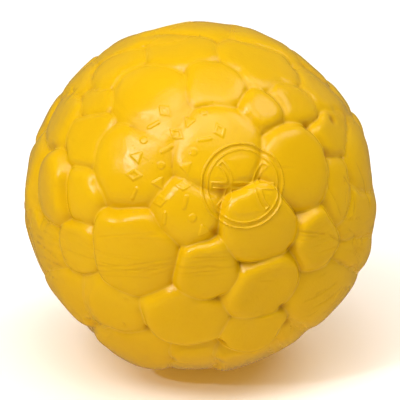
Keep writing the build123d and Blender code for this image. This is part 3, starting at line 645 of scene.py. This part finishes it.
def true_normals(u, points):
    """Normals of the relief itself, finer than the mesh that carries it."""
    side = np.cross(u, np.where(np.abs(u[:, 2:]) < 0.9, [[0.0, 0.0, 1.0]], [[1.0, 0.0, 0.0]]))
    side = unit(side)
    other = np.cross(u, side)
    step = 0.05 / BALL_R
    u1, u2 = unit(u + step * side), unit(u + step * other)
    p1 = u1 * (BALL_R + surface(u1)[0])[:, None]
    p2 = u2 * (BALL_R + surface(u2)[0])[:, None]
    n = unit(np.cross(p1 - points, p2 - points))
    return np.where(((n * u).sum(1) < 0)[:, None], -n, n)


def build_half(name, sign):
    """One cover half as a closed shell: outer skin, rim with its tongue or groove, inner skin."""
    out_dir = hemisphere(GRID, FRONT_PULL)
    out_dir[:, 2] *= sign
    h, marks = surface(out_dir)
    outer = out_dir * (BALL_R + h)[:, None]
    normals = true_normals(out_dir, outer)
    ring = border(GRID)
    outer[ring, 2] = 0.0
    faces = [triangles(outer, GRID)]
    verts = [outer]
    count = len(outer)

    flat = outer[ring] * [1, 1, 0]
    around = flat / np.linalg.norm(flat, axis=1)[:, None]
    steps = [(TONGUE_OUT, 0.0), (TONGUE_OUT, -1.0), (TONGUE_IN, -1.0), (TONGUE_IN, 0.0)]
    depth = TONGUE_H if sign > 0 else GROOVE_D
    last = ring
    k = len(ring)
    order = np.arange(k)
    nxt = (order + 1) % k
    for radius, z in steps:
        verts.append(around * radius + np.array([0, 0, z * depth]))
        this = np.arange(count, count + k)
        count += k
        faces.append(np.stack([last[order], this[order], this[nxt]], 1))
        faces.append(np.stack([last[order], this[nxt], last[nxt]], 1))
        last = this

    in_dir = hemisphere(INNER, FRONT_PULL)
    in_dir[:, 2] *= sign
    inner = in_dir * CORE_R
    base = count
    verts.append(inner)
    tri = triangles(inner, INNER)[:, ::-1] + base
    faces.append(tri)
    iring = border(INNER) + base
    ratio = GRID // INNER
    ki = len(iring)
    for j in range(ki):
        jn = (j + 1) % ki
        for s in range(ratio):
            q, qn = j * ratio + s, (j * ratio + s + 1) % k
            apex = iring[j] if s < ratio // 2 else iring[jn]
            faces.append(np.array([[last[q], apex, last[qn]]]))
            if s == ratio // 2 - 1:
                faces.append(np.array([[last[qn], iring[j], iring[jn]]]))
    v = np.concatenate(verts)
    f = np.concatenate(faces)
    # outward winding is set from the signed volume
    vol = np.einsum("ij,ij->i", v[f[:, 0]], np.cross(v[f[:, 1]], v[f[:, 2]])).sum()
    if vol < 0:
        f = f[:, ::-1]
    mesh = bpy.data.meshes.new(name)
    mesh.vertices.add(len(v))
    mesh.vertices.foreach_set("co", (v * MM).ravel())
    mesh.loops.add(len(f) * 3)
    mesh.loops.foreach_set("vertex_index", f.ravel().astype(np.int32))
    mesh.polygons.add(len(f))
    mesh.polygons.foreach_set("loop_start", np.arange(0, len(f) * 3, 3, dtype=np.int32))
    mesh.polygons.foreach_set("loop_total", np.full(len(f), 3, dtype=np.int32))
    mesh.update(calc_edges=True)
    mesh.validate()
    smooth = np.zeros(len(f), dtype=bool)
    skin = len(outer)
    smooth[:] = True
    rim = ((f >= skin).any(1)) & ((f < base).any(1))
    smooth[rim] = False
    mesh.polygons.foreach_set("use_smooth", smooth)
    for key, values in marks.items():
        full = np.zeros(len(v), dtype=np.float32)
        full[:skin] = values
        layer = mesh.attributes.new(key, "FLOAT", "POINT")
        layer.data.foreach_set("value", full)
    custom = np.zeros((len(v), 3))
    custom[:skin] = normals
    custom[skin:base] = 0.0
    custom[base:] = -unit(v[base:])
    mesh.normals_split_custom_set_from_vertices(custom.tolist())
    obj = bpy.data.objects.new(name, mesh)
    bpy.context.scene.collection.objects.link(obj)
    return obj


# ------------------------------------------------------------ node helpers
class Nodes:
    def __init__(self, name):
        self.mat = bpy.data.materials.new(name)
        self.mat.use_nodes = True
        self.tree = self.mat.node_tree
        self.bsdf = self.tree.nodes["Principled BSDF"]
        self.out = self.tree.nodes["Material Output"]

    def add(self, kind, **settings):
        node = self.tree.nodes.new(kind)
        for key, value in settings.items():
            if key.startswith("in_"):
                node.inputs[key[3:].replace("_", " ")].default_value = value
            else:
                setattr(node, key, value)
        return node

    def link(self, a, b):
        self.tree.links.new(a, b)

    def ramp(self, source, stops):
        node = self.add("ShaderNodeValToRGB")
        els = node.color_ramp.elements
        while len(els) < len(stops):
            els.new(0.5)
        for e, (pos, col) in zip(els, stops):
            e.position = pos
            e.color = col if len(col) == 4 else (*col, 1)
        self.link(source, node.inputs["Fac"])
        return node.outputs["Color"]

    def math(self, op, a, b=None, c=None, clamp=False):
        node = self.add("ShaderNodeMath", operation=op, use_clamp=clamp)
        for i, v in enumerate((a, b, c)):
            if v is None:
                continue
            if isinstance(v, (int, float)):
                node.inputs[i].default_value = v
            else:
                self.link(v, node.inputs[i])
        return node.outputs[0]

    def mix(self, fac, a, b, blend="MIX"):
        node = self.add("ShaderNodeMix", data_type="RGBA", blend_type=blend)
        for sock, v in ((node.inputs[0], fac), (node.inputs[6], a), (node.inputs[7], b)):
            if isinstance(v, (int, float)):
                sock.default_value = v
            elif isinstance(v, tuple):
                sock.default_value = v if len(v) == 4 else (*v, 1)
            else:
                self.link(v, sock)
        return node.outputs[2]


def srgb(r, g, b):
    def lin(c):
        c /= 255.0
        return c / 12.92 if c <= 0.04045 else ((c + 0.055) / 1.055) ** 2.4
    return (lin(r), lin(g), lin(b), 1.0)


def rubber_material():
    m = Nodes("moulded_yellow_rubber")
    pos = m.add("ShaderNodeTexCoord").outputs["Object"]

    def noise(scale, detail=3.0, rough=0.5, vec=None, distortion=0.0):
        n = m.add("ShaderNodeTexNoise", in_Scale=scale, in_Detail=detail, in_Roughness=rough, in_Distortion=distortion)
        m.link(vec or pos, n.inputs["Vector"])
        return n.outputs["Fac"]

    crease = m.add("ShaderNodeAttribute", attribute_name="crease").outputs["Fac"]
    pit = m.add("ShaderNodeAttribute", attribute_name="pit").outputs["Fac"]
    # colour: clear yellow on the lobes with a slight random change of tone; painted shade makes the creases, pits and
    # grooves darker and warmer
    cloud = noise(55.0, 4.0, 0.55)
    base = m.ramp(cloud, [(0.30, srgb(197, 151, 5)), (0.52, srgb(200, 155, 6)), (0.74, srgb(203, 159, 8))])
    fine = noise(900.0, 3.0, 0.6)
    speck = m.ramp(fine, [(0.30, srgb(191, 142, 5)), (0.42, srgb(200, 155, 6)), (1.0, srgb(200, 155, 6))])
    base = m.mix(0.22, base, speck)
    # painted shade: the rubber is painted darker and more orange near the foot of each crease
    deep = m.math("MULTIPLY", m.math("POWER", crease, 1.6), 0.10, clamp=True)
    base = m.mix(deep, base, srgb(192, 138, 3))
    # painted shade: the pits where three lobes meet and the dimples are painted dark brown
    pit_shade = m.math("MULTIPLY", m.math("POWER", pit, 1.5), 0.70, clamp=True)
    base = m.mix(pit_shade, base, srgb(152, 94, 3))
    # painted shade: the grooves of the wrinkles, scars and flow lines are painted darker brown
    cut = m.add("ShaderNodeAttribute", attribute_name="cut").outputs["Fac"]
    base = m.mix(m.math("MULTIPLY", cut, 0.20, clamp=True), base, srgb(148, 98, 3))
    m.link(base, m.bsdf.inputs["Base Color"])
    # gloss: satin, with a slightly uneven skin
    rough = m.ramp(noise(240.0, 4.0, 0.6), [(0.30, (0.14, 0.14, 0.14)), (0.72, (0.24, 0.24, 0.24))])
    rough = m.math("ADD", rough, m.math("MULTIPLY", crease, 0.2), clamp=True)
    m.link(rough, m.bsdf.inputs["Roughness"])
    m.bsdf.inputs["IOR"].default_value = 1.5
    m.bsdf.inputs["Specular IOR Level"].default_value = 0.21
    m.bsdf.inputs["Subsurface Weight"].default_value = 0.06
    m.bsdf.inputs["Subsurface Radius"].default_value = (1.0, 0.42, 0.06)
    m.bsdf.inputs["Subsurface Scale"].default_value = 0.0012
    # relief too fine for the mesh
    grain = noise(1500.0, 3.0, 0.6)
    orange = noise(420.0, 2.0, 0.5)
    stretch = m.add("ShaderNodeMapping")
    stretch.inputs["Scale"].default_value = (0.12, 0.12, 1.0)
    m.link(pos, stretch.inputs["Vector"])
    flow = noise(1300.0, 3.0, 0.55, vec=stretch.outputs["Vector"], distortion=0.4)
    sep = m.add("ShaderNodeSeparateXYZ")
    m.link(pos, sep.inputs[0])
    z = m.math("ABSOLUTE", sep.outputs["Z"])
    near_seam = m.math("SUBTRACT", 1.0, m.math("DIVIDE", z, 0.012), clamp=True)
    patch = m.ramp(noise(75.0, 2.0, 0.5), [(0.42, (0, 0, 0)), (0.62, (1, 1, 1))])
    flow_mask = m.math("MULTIPLY", near_seam, patch)
    b1 = m.add("ShaderNodeBump", in_Distance=0.00011, in_Strength=0.42)
    m.link(grain, b1.inputs["Height"])
    b2 = m.add("ShaderNodeBump", in_Distance=0.00016, in_Strength=0.30)
    m.link(orange, b2.inputs["Height"])
    m.link(b1.outputs[0], b2.inputs["Normal"])
    b3 = m.add("ShaderNodeBump", in_Distance=0.00022)
    m.link(flow, b3.inputs["Height"])
    m.link(m.math("MULTIPLY", flow_mask, 0.75), b3.inputs["Strength"])
    m.link(b2.outputs[0], b3.inputs["Normal"])
    m.link(b3.outputs[0], m.bsdf.inputs["Normal"])
    return m.mat


def foam_material():
    m = Nodes("closed_cell_foam")
    pos = m.add("ShaderNodeTexCoord").outputs["Object"]
    cells = m.add("ShaderNodeTexVoronoi", in_Scale=1400.0)
    m.link(pos, cells.inputs["Vector"])
    tint = m.add("ShaderNodeTexNoise", in_Scale=70.0, in_Detail=4.0)
    m.link(pos, tint.inputs["Vector"])
    base = m.ramp(tint.outputs["Fac"], [(0.3, srgb(226, 190, 112)), (0.7, srgb(240, 210, 140))])
    dark = m.ramp(cells.outputs["Distance"], [(0.0, srgb(190, 148, 78)), (0.35, srgb(240, 212, 146))])
    m.link(m.mix(0.45, base, dark, "MULTIPLY"), m.bsdf.inputs["Base Color"])
    m.bsdf.inputs["Roughness"].default_value = 0.85
    bump = m.add("ShaderNodeBump", in_Distance=0.0003, in_Strength=0.7)
    m.link(cells.outputs["Distance"], bump.inputs["Height"])
    m.link(bump.outputs[0], m.bsdf.inputs["Normal"])
    return m.mat


def cement_material():
    m = Nodes("rubber_cement")
    pos = m.add("ShaderNodeTexCoord").outputs["Object"]
    n = m.add("ShaderNodeTexNoise", in_Scale=500.0, in_Detail=5.0, in_Roughness=0.6)
    m.link(pos, n.inputs["Vector"])
    m.link(m.ramp(n.outputs["Fac"], [(0.3, srgb(150, 96, 34)), (0.7, srgb(186, 128, 54))]), m.bsdf.inputs["Base Color"])
    m.link(m.ramp(n.outputs["Fac"], [(0.3, (0.25, 0.25, 0.25)), (0.7, (0.5, 0.5, 0.5))]), m.bsdf.inputs["Roughness"])
    bump = m.add("ShaderNodeBump", in_Distance=0.0001, in_Strength=0.6)
    m.link(n.outputs["Fac"], bump.inputs["Height"])
    m.link(bump.outputs[0], m.bsdf.inputs["Normal"])
    return m.mat


def floor_material():
    m = Nodes("white_sweep")
    pos = m.add("ShaderNodeTexCoord").outputs["Object"]
    n = m.add("ShaderNodeTexNoise", in_Scale=9.0, in_Detail=3.0)
    m.link(pos, n.inputs["Vector"])
    tint = m.ramp(n.outputs["Fac"], [(0.3, (0.82, 0.82, 0.82)), (0.7, (0.84, 0.84, 0.84))])
    m.link(tint, m.bsdf.inputs["Base Color"])
    m.bsdf.inputs["Roughness"].default_value = 0.9
    m.bsdf.inputs["Specular IOR Level"].default_value = 0.0
    # painted light: the sweep glows with a little warm orange light of its own, which warms the shadow under the ball
    # and the ball's underside
    m.bsdf.inputs["Emission Color"].default_value = (1.0, 0.52, 0.03, 1.0)
    m.bsdf.inputs["Emission Strength"].default_value = 0.24
    return m.mat


# ---------------------------------------------------------------- assemble
upper = build_half("upper_cover_skin", 1)
lower = build_half("lower_cover_skin", -1)
rubber = rubber_material()
for obj, node in ((upper, "upper_cover"), (lower, "lower_cover")):
    obj.data.materials.append(rubber)
    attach(obj, "root")
    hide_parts(node)

for node, mat in (("foam_core", foam_material()), ("seam_bond", cement_material())):
    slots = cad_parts[node].material_slots
    if len(slots) == 0:
        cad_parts[node].data.materials.append(mat)
    for s in slots:
        s.material = mat

# ------------------------------------------------------------------- stage
low = min(float((np.array([v.co for v in obj.data.vertices])[:, 2]).min()) for obj in (lower,))


def floor_plane(name, z, material):
    half = 4.0
    mesh = bpy.data.meshes.new(name)
    mesh.from_pydata([(-half, -half, 0), (half, -half, 0), (half, half, 0), (-half, half, 0)], [], [(0, 1, 2, 3)])
    obj = bpy.data.objects.new(name, mesh)
    obj.location.z = z
    mesh.materials.append(material)
    bpy.context.scene.collection.objects.link(obj)
    return obj


floor = floor_plane("floor", low - 0.00002, floor_material())
floor.visible_glossy = False     # as a polarising filter takes the glare of a white sweep off a gloss surface


def area_light(name, az_left, elevation, distance, size, power, colour=(1, 1, 1), height=None):
    """A softbox az_left degrees to the left of the camera, aimed at the ball."""
    a, e = math.radians(az_left), math.radians(elevation)
    away = np.array([-math.sin(a) * math.cos(e), -math.cos(a) * math.cos(e), math.sin(e)])
    data = bpy.data.lights.new(name, "AREA")
    data.shape = "RECTANGLE" if height else "DISK"
    data.size = size
    if height:
        data.size_y = height
    data.energy = power
    data.color = colour
    obj = bpy.data.objects.new(name, data)
    obj.location = tuple(away * distance)
    from mathutils import Vector
    obj.rotation_euler = Vector(tuple(away)).to_track_quat("Z", "Y").to_euler()
    bpy.context.scene.collection.objects.link(obj)
    return obj


area_light("key_softbox", 45.0, 52.0, 1.3, 0.58, 9.3)
area_light("key_left", 66.0, 43.0, 1.3, 0.6, 0.5)
area_light("key_low", 46.0, 33.0, 1.3, 0.08, 3.7)
area_light("fill_right", -42.0, 64.0, 1.3, 1.2, 3.4)
area_light("side_fill", -72.0, 68.0, 1.3, 1.6, 2.5)
area_light("front_top_fill", 0.0, 72.0, 1.3, 0.9, 4.8)
area_light("key_top", 40.0, 76.0, 1.3, 0.8, 2.9)
area_light("right_rim", -100.0, 55.0, 1.3, 0.8, 5.2)
area_light("back_left", 140.0, 30.0, 1.3, 0.7, 0.12)
area_light("back_right", -135.0, 25.0, 1.3, 0.8, 0.2)


world = bpy.data.worlds.new("studio")
world.use_nodes = True
world.node_tree.nodes["Background"].inputs["Color"].default_value = (1.0, 1.0, 1.0, 1)
world.node_tree.nodes["Background"].inputs["Strength"].default_value = 0.165
bpy.context.scene.world = world
bpy.context.scene.view_settings.view_transform = "Standard"
bpy.context.scene.view_settings.look = "None"
bpy.context.scene.view_settings.exposure = 0.0

cam_data = bpy.data.cameras.new("camera")
cam_data.sensor_width = 36.0
cam_data.lens = 36.0 * (174.5 / math.tan(math.asin(1.0 / 12.0))) / 400.0
cam_data.shift_x = (200.0 - 199.7) / 400.0
cam_data.shift_y = (195.0 - 200.0) / 400.0
cam_data.clip_start = 0.01
cam_data.clip_end = 20.0
cam = bpy.data.objects.new("camera", cam_data)
cam.location = tuple(TO_CAM * CAM_DIST * MM)
cam.rotation_euler = (math.pi / 2 - VIEW_EL, 0.0, 0.0)
bpy.context.scene.collection.objects.link(cam)
bpy.context.scene.camera = cam
